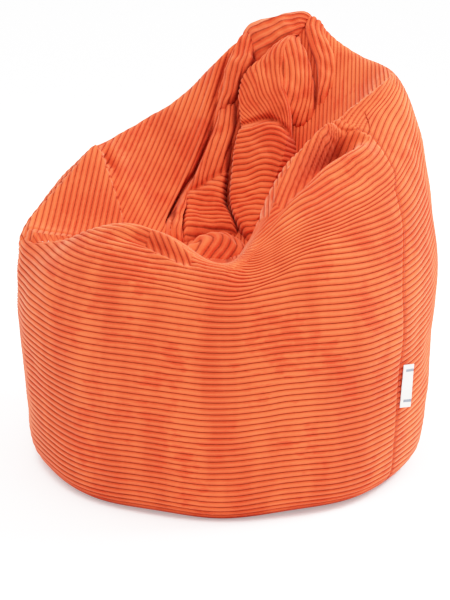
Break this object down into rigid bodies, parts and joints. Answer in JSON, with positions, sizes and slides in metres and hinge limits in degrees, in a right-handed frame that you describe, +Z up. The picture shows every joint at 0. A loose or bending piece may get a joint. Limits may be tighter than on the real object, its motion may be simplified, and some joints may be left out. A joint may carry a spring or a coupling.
{
  "type": "bean bag chair",
  "caption": "Pear-shaped floor seat in wide-wale corduroy, pressed-in hollow, crown folded over the back edge, zipped cover and liner, bead fill.",
  "frame": {"origin": "centre of the bag's outline on the floor", "axes": "+Z up, -Y towards the front of the seat, +X to the sitter's left"},
  "size_m": [0.725, 0.713, 0.7624],
  "materials": {
    "corduroy": "wide-wale cotton corduroy, matt pile",
    "lining": "plain woven polyester",
    "beads": "expanded polystyrene beads",
    "zip_tape": "woven zip tape",
    "zip_coil": "nylon coil",
    "zip_metal": "nickel-plated die casting",
    "white_tape": "woven zip tape",
    "white_coil": "nylon coil",
    "label": "blank woven satin ribbon"
  },
  "bodies": {
    "bag": {"cover_base": "corduroy", "cover_front_panel": "corduroy", "cover_back_right_panel": "corduroy", "cover_back_left_panel": "corduroy", "crown_hood": "corduroy", "crown_tongue": "corduroy", "crown_pleat": "corduroy", "crown_side_fold": "corduroy", "liner_base": "lining", "liner_front_panel": "lining", "liner_back_right_panel": "lining", "liner_back_left_panel": "lining", "bead_fill": "beads", "cover_zip_tape_left": "zip_tape", "cover_zip_tape_right": "zip_tape", "cover_zip_coil_left": "zip_coil", "cover_zip_coil_right": "zip_coil", "cover_zip_bottom_stop": "zip_metal", "cover_zip_top_stop": "zip_metal", "liner_zip_tape_left": "white_tape", "liner_zip_tape_right": "white_tape", "liner_zip_coil_left": "white_coil", "liner_zip_coil_right": "white_coil", "liner_zip_bottom_stop": "zip_metal", "liner_zip_top_stop": "zip_metal"},
    "cover_slider": {"cover_zip_slider": "zip_metal"},
    "cover_pull": {"cover_zip_pull": "zip_metal"},
    "liner_slider": {"liner_zip_slider": "zip_metal"},
    "label_tab": {"side_label": "label"}
  },
  "joints": [
    {"name": "cover_zip_slide", "type": "slide", "parent": "bag", "child": "cover_slider", "axis": [0, 0, 1], "range_m": [0, 0.345]},
    {"name": "cover_pull_hinge", "type": "hinge", "parent": "cover_slider", "child": "cover_pull", "pos_m": [0.06055, 0.34752, 0.0871], "axis": [0.9848, -0.1736, 0], "range_deg": [0, 150]},
    {"name": "liner_zip_slide", "type": "slide", "parent": "bag", "child": "liner_slider", "axis": [0, 0, 1], "range_m": [0, 0.345]},
    {"name": "label_hinge", "type": "hinge", "parent": "bag", "child": "label_tab", "pos_m": [0.29225, -0.20559, 0.19109], "axis": [-0.0608, 0.0426, -0.9972], "range_deg": [-26, 120], "stiffness_Nm_per_rad": 0.0005}
  ]
}
